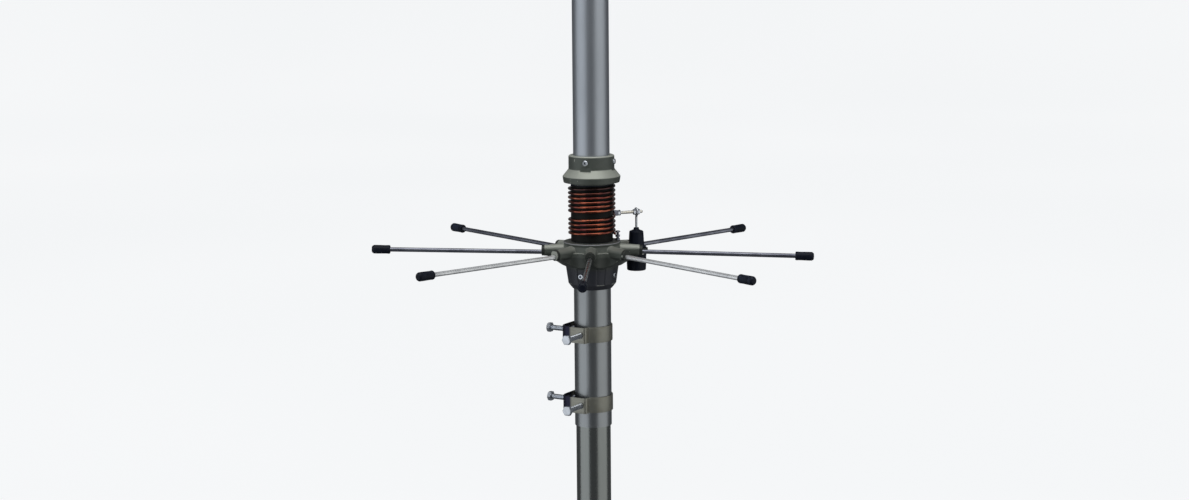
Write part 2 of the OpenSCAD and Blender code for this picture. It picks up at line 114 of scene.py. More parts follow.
def close_holes(bm):
    edges = [e for e in bm.edges if e.is_boundary]
    if edges:
        bmesh.ops.holes_fill(bm, edges=edges)


def tidy_up(bm):
    """Merges doubled points, fills every open edge and turns the faces outward."""
    bmesh.ops.remove_doubles(bm, verts=bm.verts, dist=0.002)
    bmesh.ops.dissolve_degenerate(bm, edges=bm.edges, dist=0.001)
    close_holes(bm)
    bmesh.ops.recalc_face_normals(bm, faces=bm.faces)


def mesh_object(name, bm, crease=CREASE):
    """A linked object from a bmesh in mm, smooth but for edges sharper than the crease."""
    tidy_up(bm)
    mesh = bpy.data.meshes.new(name)
    bm.to_mesh(mesh)
    bm.free()
    mesh.transform(Matrix.Scale(MM, 4))
    mesh.shade_smooth()
    mesh.set_sharp_from_angle(angle=math.radians(crease))
    obj = bpy.data.objects.new(name, mesh)
    bpy.context.scene.collection.objects.link(obj)
    return obj


def fillet(outline, closed=True, steps=CORNER_STEPS):
    """Rounds each corner of a plane outline whose point has a third number, its radius."""
    count = len(outline)
    out = []
    for i, point in enumerate(outline):
        here = Vector(point[:2])
        radius = point[2] if len(point) > 2 else 0
        at_end = not closed and i in (0, count - 1)
        if radius <= 0 or at_end:
            out.append(tuple(here))
            continue
        before = Vector(outline[i - 1][:2]) - here
        after = Vector(outline[(i + 1) % count][:2]) - here
        turn = before.angle(after)
        cut = radius / max(math.tan(turn / 2), 0.1)
        cut = min(cut, before.length * 0.48, after.length * 0.48)
        a = here + before.normalized() * cut
        b = here + after.normalized() * cut
        for s in range(steps + 1):
            t = s / steps
            out.append(tuple(a * (1 - t) ** 2 + here * 2 * t * (1 - t) + b * t ** 2))
    return out


def add_lathe(bm, outline, sides=72):
    """Turns an outline of (radius, height[, corner radius]) about Z."""
    on_axis = outline[0][0] == 0
    points = fillet(outline, closed=not on_axis)
    angles = [360 * k / sides for k in range(sides)]
    skin(bm, [[polar(r, a, z) for a in angles] for r, z in points], not on_axis)


def add_hex(bm, flats, z0, z1, bore=0.0, samples=48, both_ends=False):
    """A hexagonal prism with turned, chamfered corners and an optional bore."""
    land = flats / 2 * 0.95                 # radius of the flat that the chamfer leaves
    slope = math.tan(math.radians(30))      # a nut's usual chamfer

    def ring(z, radius):
        return [polar(radius, 360 * k / samples, z) for k in range(samples)]

    def flank(z, drop):
        points = []
        for k in range(samples):
            a = 360 * k / samples
            off = (a + 30) % 60 - 30
            r = flats / 2 / math.cos(math.radians(off))
            points.append(polar(r, a, z + drop * (r - land) * slope))
        return points

    low = [ring(z0, land), flank(z0, 1)] if both_ends else [flank(z0, 0)]
    rings = [ring(z0, bore)] + low + [flank(z1, -1), ring(z1, land), ring(z1, bore)]
    skin(bm, rings, bore > 0)


def add_thread(bm, major, pitch, z0, z1, sides=24):
    """A threaded rod: rows of points that climb one pitch in a turn, chamfered at both ends."""
    depth = 0.56 * pitch
    # one pitch of the profile: how far up it, and how deep under the major radius
    profile = [(0.0, depth), (0.16, depth), (0.5, 0.0), (0.64, 0.0)]
    each = len(profile)
    spare_turns = 3
    turns = int((z1 - z0) / pitch) + spare_turns
    chamfer = 0.9 * pitch

    def point(row, side):
        phase, inset = profile[row % each]
        z = z0 + (row // each - 1.5 + phase + side / sides) * pitch
        z = min(max(z, z0), z1)
        r = min(major - inset, major - chamfer + min(z - z0, z1 - z))
        return polar(r, 360 * side / sides, z)

    rows = turns * each
    made = [[bm.verts.new(point(r, s)) for s in range(sides)] for r in range(rows + each)]
    for r in range(rows - 1):
        for s in range(sides):
            next_column = (s + 1) % sides
            lift = each if next_column == 0 else 0
            bm.faces.new((made[r][s], made[r + lift][next_column],
                          made[r + 1 + lift][next_column], made[r + 1][s]))


def add_sweep(bm, path, radius, sides=12):
    """A round bar along a path of points, with rounded ends."""
    end_length = 0.6        # of the radius
    count = len(path)
    tangents = [(path[min(i + 1, count - 1)] - path[max(i - 1, 0)]).normalized() for i in range(count)]
    side = tangents[0].orthogonal().normalized()
    rings = []

    def add_ring(centre, tangent, across, r):
        up = tangent.cross(across)
        angles = [2 * math.pi * k / sides for k in range(sides)]
        rings.append([centre + (across * math.cos(a) + up * math.sin(a)) * r for a in angles])

    def add_end(centre, tangent, across, outward, angles):
        for a in angles:
            c, s = math.cos(math.radians(a)), math.sin(math.radians(a))
            bulge = tangent * outward * radius * s * end_length
            add_ring(centre + bulge, tangent, across, max(radius * c, 1e-4))

    for i, (centre, tangent) in enumerate(zip(path, tangents)):
        side = (side - tangent * side.dot(tangent)).normalized()
        if i == 0:
            add_end(centre, tangent, side, -1, (90, 60, 30))
        add_ring(centre, tangent, side, radius)
        if i == count - 1:
            add_end(centre, tangent, side, 1, (30, 60, 90))
    skin(bm, rings, False)


def turned(name, outline, sides=72):
    bm = bmesh.new()
    add_lathe(bm, outline, sides)
    return mesh_object(name, bm)


def placed(obj, point, direction=UP, spin=0.0):
    """Moves a piece made along +Z at the origin so that it stands on a point, along a direction."""
    turn = direction.to_track_quat("Z", "Y").to_matrix().to_4x4()
    spun = Matrix.Rotation(math.radians(spin), 4, "Z")
    obj.data.transform(Matrix.Translation(point * MM) @ turn @ spun)
    return obj


def joined(name, parts):
    """One object that holds the meshes of several, in place."""
    bm = bmesh.new()
    for part in parts:
        bm.from_mesh(part.data)
        bpy.data.objects.remove(part)
    mesh = bpy.data.meshes.new(name)
    bm.to_mesh(mesh)
    bm.free()
    obj = bpy.data.objects.new(name, mesh)
    bpy.context.scene.collection.objects.link(obj)
    return obj


def baked(obj):
    """Applies an object's modifiers."""
    graph = bpy.context.evaluated_depsgraph_get()
    mesh = bpy.data.meshes.new_from_object(obj.evaluated_get(graph))
    obj.modifiers.clear()
    obj.data = mesh
    return obj


def drilled(obj, cutters):
    """Cuts the cutters out of a piece and drops them."""
    for cutter in cutters:
        mod = obj.modifiers.new("cut", "BOOLEAN")
        mod.object = cutter
        mod.operation = "DIFFERENCE"
        mod.solver = "EXACT"
    baked(obj)
    for cutter in cutters:
        bpy.data.objects.remove(cutter)
    obj.data.set_sharp_from_angle(angle=math.radians(CREASE))
    return obj


def as_cast(name, node, voxel, passes):
    """A cast copy of a CAD node: the same shape with its edges and corners softly rounded."""
    mesh = frame["nodes"][node].data.copy()
    mesh.materials.clear()
    obj = bpy.data.objects.new(name, mesh)
    bpy.context.scene.collection.objects.link(obj)
    weld = obj.modifiers.new("weld", "WELD")
    weld.merge_threshold = 0.001 * MM
    remesh = obj.modifiers.new("remesh", "REMESH")
    remesh.mode = "VOXEL"
    remesh.voxel_size = voxel * MM
    remesh.use_smooth_shade = True
    smooth = obj.modifiers.new("smooth", "SMOOTH")
    smooth.factor = 0.5
    smooth.iterations = passes
    baked(obj)
    obj.data.shade_smooth()
    return obj


# ---------------------------------------------------------------- material kit


class Shader:
    """A material's node tree around one Principled shader."""

    def __init__(self, name, colour, roughness, metallic=0.0, **constants):
        self.material = bpy.data.materials.new(name)
        self.material.use_nodes = True
        self.tree = self.material.node_tree
        self.bsdf = self.tree.nodes["Principled BSDF"]
        self.bsdf.inputs["Base Color"].default_value = (*colour, 1)
        self.bsdf.inputs["Roughness"].default_value = roughness
        self.bsdf.inputs["Metallic"].default_value = metallic
        for label, value in constants.items():
            self.bsdf.inputs[label.replace("_", " ").title().replace("Ior", "IOR")].default_value = value
        self.place = self.add("ShaderNodeTexCoord").outputs["Object"]
        self.normal = None

    def add(self, kind, **settings):
        node = self.tree.nodes.new(kind)
        for key, value in settings.items():
            setattr(node, key, value)
        return node

    def link(self, out, into):
        self.tree.links.new(out, into)

    def stretched(self, x, y, z):
        """The object's coordinates, scaled along each axis, in features per metre."""
        node = self.add("ShaderNodeMapping")
        node.inputs["Scale"].default_value = (x, y, z)
        self.link(self.place, node.inputs["Vector"])
        return node.outputs["Vector"]

    def noise(self, vector, detail=4.0, rough=0.55, distortion=0.0):
        node = self.add("ShaderNodeTexNoise")
        node.inputs["Scale"].default_value = 1
        node.inputs["Detail"].default_value = detail
        node.inputs["Roughness"].default_value = rough
        node.inputs["Distortion"].default_value = distortion
        self.link(vector, node.inputs["Vector"])
        return node.outputs["Fac"]

    def spread(self, value, low, high, out_low=0.0, out_high=1.0):
        """Maps a value from one range to another, held at the ends."""
        node = self.add("ShaderNodeMapRange")
        ends = {"From Min": low, "From Max": high, "To Min": out_low, "To Max": out_high}
        for label, number in ends.items():
            node.inputs[label].default_value = number
        self.link(value, node.inputs["Value"])
        return node.outputs["Result"]

    def mix(self, factor, a, b):
        """Blends two colours; each is a colour or a socket."""
        node = self.add("ShaderNodeMix", data_type="RGBA")
        self.link(factor, node.inputs["Factor"])
        for socket, value in zip((node.inputs[6], node.inputs[7]), (a, b)):
            if isinstance(value, tuple):
                socket.default_value = (*value, 1)
            else:
                self.link(value, socket)
        return node.outputs[2]

    def edges(self, low, high):
        """0 in hollows and on flats to 1 on convex edges."""
        return self.spread(self.add("ShaderNodeNewGeometry").outputs["Pointiness"], low, high)

    def upward(self, low, high):
        """0 on walls and undersides to 1 on faces that look up."""
        node = self.add("ShaderNodeSeparateXYZ")
        self.link(self.add("ShaderNodeTexCoord").outputs["Normal"], node.inputs["Vector"])
        return self.spread(node.outputs["Z"], low, high)

    def along(self, axis, low, high):
        """0 below a coordinate in mm to 1 above another."""
        node = self.add("ShaderNodeSeparateXYZ")
        self.link(self.place, node.inputs["Vector"])
        return self.spread(node.outputs[axis], low * MM, high * MM)

    def outward(self, low, high):
        """0 within a distance in mm from the antenna's axis to 1 beyond another."""
        flat = self.add("ShaderNodeVectorMath", operation="MULTIPLY")
        flat.inputs[1].default_value = (1, 1, 0)
        self.link(self.place, flat.inputs[0])
        length = self.add("ShaderNodeVectorMath", operation="LENGTH")
        self.link(flat.outputs["Vector"], length.inputs[0])
        return self.spread(length.outputs["Value"], low * MM, high * MM)

    def colour(self, socket):
        self.link(socket, self.bsdf.inputs["Base Color"])

    def roughness(self, socket):
        self.link(socket, self.bsdf.inputs["Roughness"])

    def bump(self, height, depth_mm, strength=1.0):
        """Adds relief; depth is the real height of the relief in mm."""
        node = self.add("ShaderNodeBump")
        node.inputs["Strength"].default_value = strength
        node.inputs["Distance"].default_value = depth_mm * MM
        self.link(height, node.inputs["Height"])
        if self.normal:
            self.link(self.normal, node.inputs["Normal"])
        self.normal = node.outputs["Normal"]
        self.link(self.normal, self.bsdf.inputs["Normal"])


def drawn_tube(name, colour, roughness, streak):
    """Drawn aluminium tube: fine lines along Z, faint cloudy oxide and a few long scratches."""
    s = Shader(name, colour, roughness, 1.0)
    lines = s.noise(s.stretched(700, 700, 1.5), 3, 0.6)
    cloud = s.noise(s.stretched(30, 30, 7), 4, 0.6)
    marks = s.noise(s.stretched(1500, 1500, 9), 2, 0.5)
    shade = s.mix(s.spread(lines, 0.3, 0.7), tuple(c * (1 - streak) for c in colour), colour)
    oxide = tuple(c * 0.88 for c in colour)
    shade = s.mix(s.spread(cloud, 0.42, 0.72), shade, oxide)
    s.colour(s.mix(s.spread(marks, 0.72, 0.78), shade, tuple(min(1, c * 1.15) for c in colour)))
    s.roughness(s.spread(cloud, 0.3, 0.7, roughness * 0.92, roughness * 1.1))
    s.bump(lines, 0.004)
    return s.material


def cast_metal(name, wall, pale, low, roughness):
    """Painted casting with painted light: tops paler for top light, dark walls, painted shade below the web
    and on the skirt, darker arm ends, a painted highlight on the ring's rim and a painted shadow on its top.
    """
    s = Shader(name, wall, roughness, 0.25, specular_ior_level=0.4)
    web = hub_centre().z
    ring_top = span("hub_casting")[1].z
    arm_end = -span("hub_casting")[0].x
    bead = 3.6              # length of the bead round an arm's end
    painted_rim_highlight = (0.42, 0.42, 0.47)
    grain = s.noise(s.stretched(700, 700, 700), 5, 0.6)
    patch = s.noise(s.stretched(75, 75, 75), 5, 0.6, 0.4)
    under, dark_arm_end, pits = (tuple(c * part for c in wall) for part in (0.58, 0.35, 0.6))
    pale_top_light_and_wear, dim_front_top_light, painted_ring_shadow = (tuple(c * part for c in pale) for part in (0.85, 0.42, 0.22))
    tone = s.mix(s.spread(patch, 0.30, 0.75), wall, tuple(c * 1.25 for c in wall))
    # painted shade: walls darker below the web
    tone = s.mix(s.along("Z", web - 3, web - 1), under, tone)
    # painted shade: the skirt well below the web takes the near-black low colour
    tone = s.mix(s.along("Z", web - 20, web - 14), low, tone)
    # painted top light on upward faces, dimmer towards the front
    painted_light_on_tops = s.mix(s.along("Y", -34, -12), dim_front_top_light, pale_top_light_and_wear)
    # painted highlight on the ring's rim
    painted_light_on_tops = s.mix(s.along("Z", ring_top - 1.6, ring_top - 1.2), painted_light_on_tops, painted_rim_highlight)
    # painted shadow on the ring's top, under the coil
    painted_light_on_tops = s.mix(s.along("Z", ring_top - 0.3, ring_top - 0.1), painted_light_on_tops, painted_ring_shadow)
    # painted top light at full strength on the collar's upward faces
    painted_light_on_tops = s.mix(s.along("Z", ring_top + 10, ring_top + 20), painted_light_on_tops, pale)
    # upward faces take the painted light of the tops
    tone = s.mix(s.upward(0.08, 0.72), tone, painted_light_on_tops)
    tone = s.mix(s.spread(grain, 0.66, 0.86), tone, pits)
    # a darker band round each arm's end
    tone = s.mix(s.outward(arm_end - bead, arm_end - bead + 0.6), tone, dark_arm_end)
    # edge wear colour above the web; low down it stays at the painted shade of the skirt
    worn = s.mix(s.along("Z", web - 16, web - 10), low, pale_top_light_and_wear)
    s.colour(s.mix(s.edges(0.54, 0.62), tone, worn))
    s.roughness(s.spread(grain, 0.3, 0.7, roughness - 0.06, roughness + 0.08))
    s.bump(grain, 0.06, 0.4)
    s.bump(patch, 0.25, 0.3)
    return s.material


def enamelled_copper():
    """Enamelled winding wire: dark red-brown metal under a clear glossy coat, with painted shade on the turns
    under the collar.
    """
    s = Shader("enamelled_copper", (0.30, 0.07, 0.03), 0.16, 1.0, coat_weight=0.6, coat_roughness=0.06)
    collar_foot = span("coil_former")[1].z
    tint = s.noise(s.stretched(45, 45, 160), 3, 0.5)
    fine = s.noise(s.stretched(400, 400, 400), 4, 0.6)
    shade = s.mix(s.spread(tint, 0.38, 0.62), (0.38, 0.092, 0.04), (0.13, 0.016, 0.014))
    shade = s.mix(s.spread(fine, 0.56, 0.78), shade, (0.07, 0.014, 0.012))
    # painted shade: the turns under the collar go near-black
    s.colour(s.mix(s.along("Z", collar_foot - 10, collar_foot - 5), shade, (0.045, 0.014, 0.013)))
    s.roughness(s.spread(fine, 0.3, 0.7, 0.10, 0.20))
    s.bump(fine, 0.015, 0.4)
    return s.material


def moulded_black(name, colour, roughness, grain_size, grain_depth, specular):
    """Black rubber or nylon: fine grain, greyer on worn edges, with patches of dust."""
    s = Shader(name, colour, roughness, 0.0, specular_ior_level=specular)
    grain = s.noise(s.stretched(grain_size, grain_size, grain_size), 4, 0.6)
    dust = s.noise(s.stretched(110, 110, 110), 5, 0.65)
    tone = s.mix(s.spread(dust, 0.45, 0.75), colour, tuple(c * 1.9 + 0.002 for c in colour))
    s.colour(s.mix(s.edges(0.52, 0.60), tone, tuple(c * 2.4 + 0.003 for c in colour)))
    s.roughness(s.spread(dust, 0.3, 0.7, roughness - 0.06, roughness + 0.10))
    s.bump(grain, grain_depth, 0.6)
    return s.material


def plated(name, colour, roughness, stain, metallic=1.0):
    """Plated steel or brass: faint stains and fine scuffs, brighter on worn edges."""
    s = Shader(name, colour, roughness, metallic)
    blot = s.noise(s.stretched(160, 160, 160), 5, 0.6, 0.6)
    scuff = s.noise(s.stretched(1200, 1200, 1200), 3, 0.6)
    tone = s.mix(s.spread(blot, 0.42, 0.70), colour, stain)
    s.colour(s.mix(s.edges(0.53, 0.62), tone, tuple(min(1, c * 1.35) for c in colour)))
    s.roughness(s.spread(scuff, 0.3, 0.7, roughness * 0.85, roughness * 1.2))
    s.bump(scuff, 0.008, 0.4)
    return s.material


def stainless_rod(name, bright, dull, metallic):
    """Drawn stainless rod: bright, with dull bands along it."""
    s = Shader(name, bright, 0.24, metallic)
    bands = s.noise(s.stretched(45, 45, 45), 2, 0.5)
    s.colour(s.mix(s.spread(bands, 0.40, 0.66), bright, dull))
    s.roughness(s.spread(bands, 0.3, 0.7, 0.20, 0.30))
    return s.material


def strip_steel():
    """Chromated strip steel: brushed round the band, olive, and dark navy at the nose, its end furthest along
    -X.
    """
    olive = (0.26, 0.26, 0.225)
    s = Shader("chromated_strip", olive, 0.42, 0.8)
    brush = s.noise(s.stretched(30, 30, 1500), 4, 0.6)
    patch = s.noise(s.stretched(85, 85, 85), 5, 0.6, 0.5)
    tone = s.mix(s.spread(patch, 0.36, 0.66), (0.27, 0.27, 0.235), (0.215, 0.205, 0.165))
    tone = s.mix(s.spread(brush, 0.3, 0.7), tuple(c * 0.85 for c in olive), tone)
    tone = s.mix(s.edges(0.53, 0.60), tone, (0.38, 0.38, 0.34))
    nose = span("upper_clamp_strap")[0].x
    # dark navy at the nose
    s.colour(s.mix(s.along("X", nose + 7, nose + 9.5), (0.022, 0.022, 0.045), tone))
    s.roughness(s.spread(brush, 0.3, 0.7, 0.36, 0.50))
    s.bump(brush, 0.008, 0.5)
    return s.material


def glass_fibre():
    """Resin rod with glass strands that run along it."""
    s = Shader("glass_fibre", (0.60, 0.53, 0.33), 0.42)
    strands = s.noise(s.stretched(1300, 1300, 22), 4, 0.6)
    s.colour(s.mix(s.spread(strands, 0.3, 0.7), (0.48, 0.41, 0.24), (0.68, 0.62, 0.42)))
    s.bump(strands, 0.03)
    return s.material


def turned_plastic():
    """White turned plastic."""
    s = Shader("white_plastic", (0.78, 0.77, 0.73), 0.45)
    rings = s.noise(s.stretched(200, 200, 4000), 3, 0.5)
    s.colour(s.mix(s.spread(rings, 0.3, 0.7), (0.72, 0.71, 0.67), (0.82, 0.81, 0.78)))
    s.bump(rings, 0.01)
    return s.material


def pale_stage():
    """Pale floor and backdrop that glow evenly and take a soft shadow."""
    s = Shader("pale_stage", (0.03, 0.03, 0.031), 0.95, 0.0, specular_ior_level=0.0)
    mottle = s.noise(s.stretched(0.7, 0.7, 0.7), 1, 0.4)
    s.bsdf.inputs["Emission Strength"].default_value = 1.0
    glow = s.mix(s.spread(mottle, 0.2, 0.8), (0.885, 0.900, 0.912), (0.915, 0.925, 0.935))
    s.link(glow, s.bsdf.inputs["Emission Color"])
    return s.material


MATERIALS = {
    "mast_alu": drawn_tube("drawn_aluminium_mast", (0.265, 0.28, 0.272), 0.24, 0.10),
    "base_alu": drawn_tube("drawn_aluminium_base", (0.315, 0.332, 0.345), 0.33, 0.08),
    "radiator_alu": drawn_tube("drawn_aluminium_radiator", (0.435, 0.465, 0.51), 0.42, 0.06),
    # colours: wall, pale tops (painted top light and wear), low (painted shade of the skirt)
    "casting": cast_metal(
        "painted_casting", (0.075, 0.085, 0.075), (0.41, 0.43, 0.385), (0.034, 0.036, 0.046), 0.45
    ),
    "copper": enamelled_copper(),
    "nylon": moulded_black("turned_nylon", (0.003, 0.003, 0.0027), 0.36, 700, 0.02, 0.08),
    "rubber": moulded_black("moulded_rubber", (0.005, 0.007, 0.014), 0.42, 1500, 0.03, 0.14),
    "zinc": plated("bright_zinc", (0.60, 0.63, 0.69), 0.24, (0.46, 0.48, 0.50)),
    "brass": plated("nickel_plated_brass", (0.84, 0.82, 0.78), 0.22, (0.66, 0.62, 0.52)),
    "stainless": stainless_rod("bright_stainless", (0.82, 0.83, 0.85), (0.62, 0.63, 0.65), 0.6),
    # lit copy of the rods' stainless: painted highlight on the front rod
    "front_lit_stainless": stainless_rod(
        "front_lit_stainless", (0.80, 0.81, 0.83), (0.66, 0.67, 0.69), 1.0
    ),
    # shaded copy of the rods' stainless: painted shade for the side and back rods, the terminals and the wire
    # clip
    "shaded_stainless": stainless_rod(
        "painted_shade_stainless", (0.25, 0.26, 0.31), (0.13, 0.135, 0.17), 0.85
    ),
    "strap": strip_steel(),
    "core": glass_fibre(),
    "ptfe": turned_plastic(),
}

# ---------------------------------------------------------------- registering pieces


def dress(node, material):
    """Gives a CAD node that stays as it is one of the scene's materials."""
    slots = frame["nodes"][node].data.materials
    slots.clear()
    slots.append(MATERIALS[material])


def stand_for(obj, body, nodes, slot, material=None):
    """Registers a new piece: its material, its body, and the CAD nodes that it replaces."""
    obj.data.materials.clear()
    obj.data.materials.append(MATERIALS[material or slot])
    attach(obj, body)
    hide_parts(*nodes)
    return obj


# ---------------------------------------------------------------- pieces


def build_castings():
    """The hub and the collar, each remeshed at its own voxel size in mm."""
    for name, node, voxel in (("cast_hub", "hub_casting", 0.45), ("cast_collar", "upper_collar", 0.40)):
        stand_for(as_cast(name, node, voxel, 2), "antenna_base", [node], "casting")


def smooth(t):
    """0 to 1 with an even start and end, held outside."""
    t = min(max(t, 0), 1)
    return t * t * (3 - 2 * t)


WIRE_R = 1.5
WIRE_PITCH = 5.0
WIRE_TURNS = 10
WIRE_LIFT = 0.25            # gap between the wire and the former
WIRE_SWAY = 0.10            # how far a hand-wound turn strays along the axis
WIRE_WAVER = 0.07           # and outward
WIRE_STEP = 7.5             # degrees from one ring of the wire to the next
LEAD_TURN = 24              # degrees over which each end of the wire leaves the former
GAP_TURNS = (1410, 1515)    # unwound angles between which the wire crosses the empty groove
FRONT_Z = 23.7              # height of the first turn over the radials, at the front
TERMINAL_STUD_R = 1.6
TERMINAL_PLAY = 0.05        # gap between the wire and what holds it
TERMINAL_THREAD = 0.6       # pitch
TERMINAL_SIDES = 20
STUD_ROOT = 6               # how deep the ground terminal's stud goes below the ring's top
NUT_FLATS = 5
NUT_T = 1.9
WASHER_R = 2.8
WASHER_T = 0.4


def terminal_axis(node):
    """The angle of a coil terminal, and its distance from the antenna's axis."""
    here = middle(node)
    return angle_of(here), math.hypot(here.x, here.y)


def build_coil():
    """The winding, with its two ends laid beside the terminals' studs."""
    path_r = span("coil_former")[1].x + WIRE_R + WIRE_LIFT
    low_angle, terminal_r = terminal_axis("coil_ground_terminal")
    top_angle = terminal_axis("coil_top_terminal")[0] + 360 * WIRE_TURNS
    end_r = terminal_r - WIRE_R - TERMINAL_STUD_R - TERMINAL_PLAY
    front_z = hub_centre().z + FRONT_Z

    def height(a):
        crossing = smooth((a - GAP_TURNS[0]) / (GAP_TURNS[1] - GAP_TURNS[0]))
        loose = min(1, (a - low_angle) / 90, (top_angle - a) / 90)
        sway = WIRE_SWAY * noise.noise(Vector((a / 61, 0, 7.7))) * loose
        return front_z + WIRE_PITCH * ((a - 270) / 360 + crossing) + sway

    def radius(a):
        lead = smooth(1 - (a - low_angle) / LEAD_TURN) + smooth(1 - (top_angle - a) / LEAD_TURN)
        return path_r + (end_r - path_r) * lead + WIRE_WAVER * noise.noise(Vector((a / 47, 3.1, 0)))

    count = int((top_angle - low_angle) / WIRE_STEP)
    angles = [low_angle + (top_angle - low_angle) * k / count for k in range(count + 1)]
    bm = bmesh.new()
    add_sweep(bm, [polar(radius(a), a, height(a)) for a in angles], WIRE_R, 14)
    stand_for(mesh_object("coil_winding", bm, 60), "antenna_base", ["coil_wire"], "copper")
    return height(low_angle), height(top_angle)


def add_washer(bm, bore, radius, z, thickness):
    top = z + thickness
    add_lathe(bm, [(bore, z, 0), (radius, z, 0.15), (radius, top, 0.15), (bore, top, 0)], 40)


def add_pan_head(bm, z, side):
    """A domed screw head that stands on z, upward for side 1 and downward for side -1."""
    rim_r, dome_r = 2.9, 2.1
    add_lathe(bm, [
        (0, z, 0), (rim_r, z, 0.2), (rim_r, z + 0.9 * side, 0.5), (dome_r, z + 1.7 * side, 0.8),
        (0, z + 1.8 * side, 0)
    ], 40)


def build_terminals(low_z, top_z):
    """Ground terminal: a stud with nuts, washers and a head. Top terminal: a screw from below."""
    bore = TERMINAL_STUD_R + 0.05
    grip = WIRE_R + TERMINAL_PLAY

    def add_stud(bm, z0, z1):
        add_thread(bm, TERMINAL_STUD_R, TERMINAL_THREAD, z0, z1, TERMINAL_SIDES)

    def add_nut(bm, z0, z1):
        add_hex(bm, NUT_FLATS, z0, z1, bore, both_ends=True)

    def finish(name, bm, node):
        angle, distance = terminal_axis(node)
        terminal = placed(mesh_object(name, bm), polar(distance, angle))
        # the terminals take the shaded copy of stainless: painted shade
        stand_for(terminal, "antenna_base", [node], "zinc", "shaded_stainless")

    foot = span("hub_gasket")[0].z
    washer_foot = low_z - grip - WASHER_T
    bm = bmesh.new()
    add_stud(bm, foot - STUD_ROOT, low_z + grip + 0.5)
    add_washer(bm, bore, WASHER_R, foot, WASHER_T)
    add_nut(bm, foot + WASHER_T, foot + WASHER_T + NUT_T)
    add_nut(bm, washer_foot - NUT_T, washer_foot)
    add_washer(bm, bore, WASHER_R, washer_foot, WASHER_T)
    add_pan_head(bm, low_z + grip, 1)
    finish("ground_terminal", bm, "coil_ground_terminal")

    washer_top = top_z + grip + WASHER_T
    bm = bmesh.new()
    add_stud(bm, top_z - grip - 0.5, span("coil_top_terminal")[1].z)
    add_pan_head(bm, top_z - grip, -1)
    add_washer(bm, bore, WASHER_R, top_z + grip, WASHER_T)
    add_nut(bm, washer_top, washer_top + NUT_T)
    finish("top_terminal", bm, "coil_top_terminal")


def connector_axis():
    centre = middle("connector_shell")
    return Vector((centre.x, centre.y, 0))


TAP_STUD_R = 1.75
TAP_STUD_PITCH = 0.7
TAP_BORE = 1.8
TAP_NUT_FLATS = 5.7
TAP_NUT_T = 2.5
TAP_WASHER_R = 3.2
TAP_WASHER_T = 0.6
CLIP_NUT_FLATS = 5.5
CLIP_NUT_T = 2.6
CLIP_WIDTH = 6.0
CLIP_OVERHANG = 1.2         # how much longer the clip is than in CAD, toward the coil
LINK_R = 1.3
LINK_EYE_R = 3.7            # to the middle of the bent rod
LINK_NECK = 2.2             # height over which the rod steps aside into its eye
LINK_STEP = 0.9             # how far it steps aside
EYE_START, EYE_SWEEP = -104, -318


def build_tap():
    """The clip on the wire, the stud, its nuts and the link rod bent to an eye."""
    axis = connector_axis()
    out = axis.normalized()
    angle = angle_of(axis)
    z = middle("tap_stud").z

    start, end = reach("tap_stud", out)
    bm = bmesh.new()
    add_thread(bm, TAP_STUD_R, TAP_STUD_PITCH, 0, end - start, 20)
    stud = placed(mesh_object("tap_stud_thread", bm), polar(start, angle, z), out)
    stand_for(stud, "antenna_base", ["tap_stud"], "brass")

    nut_in, nut_out = reach("tap_nuts", out)
    clip_lo, clip_hi = reach("tap_clip", out)
    outer_face = nut_out - nut_in
    bm = bmesh.new()
    for z0, z1 in ((0, TAP_NUT_T), (outer_face - TAP_NUT_T, outer_face)):
        add_hex(bm, TAP_NUT_FLATS, z0, z1, TAP_BORE, both_ends=True)
    washer_at = clip_hi + CLIP_NUT_T - nut_in
    add_washer(bm, TAP_BORE, TAP_WASHER_R, washer_at, TAP_WASHER_T)
    add_hex(bm, CLIP_NUT_FLATS, clip_hi - nut_in, washer_at, TAP_BORE, both_ends=True)
    nuts = placed(mesh_object("tap_hex_nuts", bm), polar(nut_in, angle, z), out)
    stand_for(nuts, "antenna_base", ["tap_nuts"], "zinc")

    length = clip_hi - clip_lo
    bm = bmesh.new()
    bmesh.ops.create_cube(bm, size=1)
    bmesh.ops.scale(bm, verts=bm.verts, vec=Vector((CLIP_WIDTH, CLIP_WIDTH, length + CLIP_OVERHANG)))
    bmesh.ops.translate(bm, verts=bm.verts, vec=Vector((0, 0, (length - CLIP_OVERHANG) / 2)))
    bmesh.ops.bevel(bm, geom=bm.edges[:], offset=0.9, segments=4, profile=0.6, affect="EDGES")
    clip = placed(mesh_object("tap_wire_clip", bm, 50), polar(clip_lo, angle, z), out)
    # the wire clip takes the shaded copy of stainless: painted shade
    stand_for(clip, "antenna_base", ["tap_clip"], "brass", "shaded_stainless")

    across = UP.cross(out)
    low = span("link_rod")[0].z
    neck = z - LINK_EYE_R - LINK_NECK
    shank = [axis + UP * (low + (neck - low) * k / 12) for k in range(13)]
    step = []
    for k in range(1, 6):
        t = k / 6
        step.append(axis + UP * (neck + LINK_NECK * t) - across * (LINK_STEP * smooth(t)))
    eye = []
    for k in range(31):
        a = math.radians(EYE_START + EYE_SWEEP * k / 30)
        eye.append(axis + UP * (z + LINK_EYE_R * math.sin(a)) + across * (LINK_EYE_R * math.cos(a)))
    bm = bmesh.new()
    add_sweep(bm, shank + step + eye, LINK_R, 14)
    stand_for(mesh_object("link_rod_with_eye", bm, 60), "antenna_base", ["link_rod"], "brass", "zinc")


SOCKET_THREAD_R = 7.95      # 5/8 inch
SOCKET_PITCH = 1.06         # 24 threads to the inch
SOCKET_BORE_R = 6.2
SOCKET_BORE_DEPTH = 12.5
SOCKET_NECK_R = 5.25
SOCKET_NUT_FLATS = 13
SOCKET_TO_EAR = 17          # from the socket's mouth up to the hub's ear
BOOT_NECK_R = 1.45          # round the link rod
CAP_BORE_R = 8.05
CAP_RIBS = 3


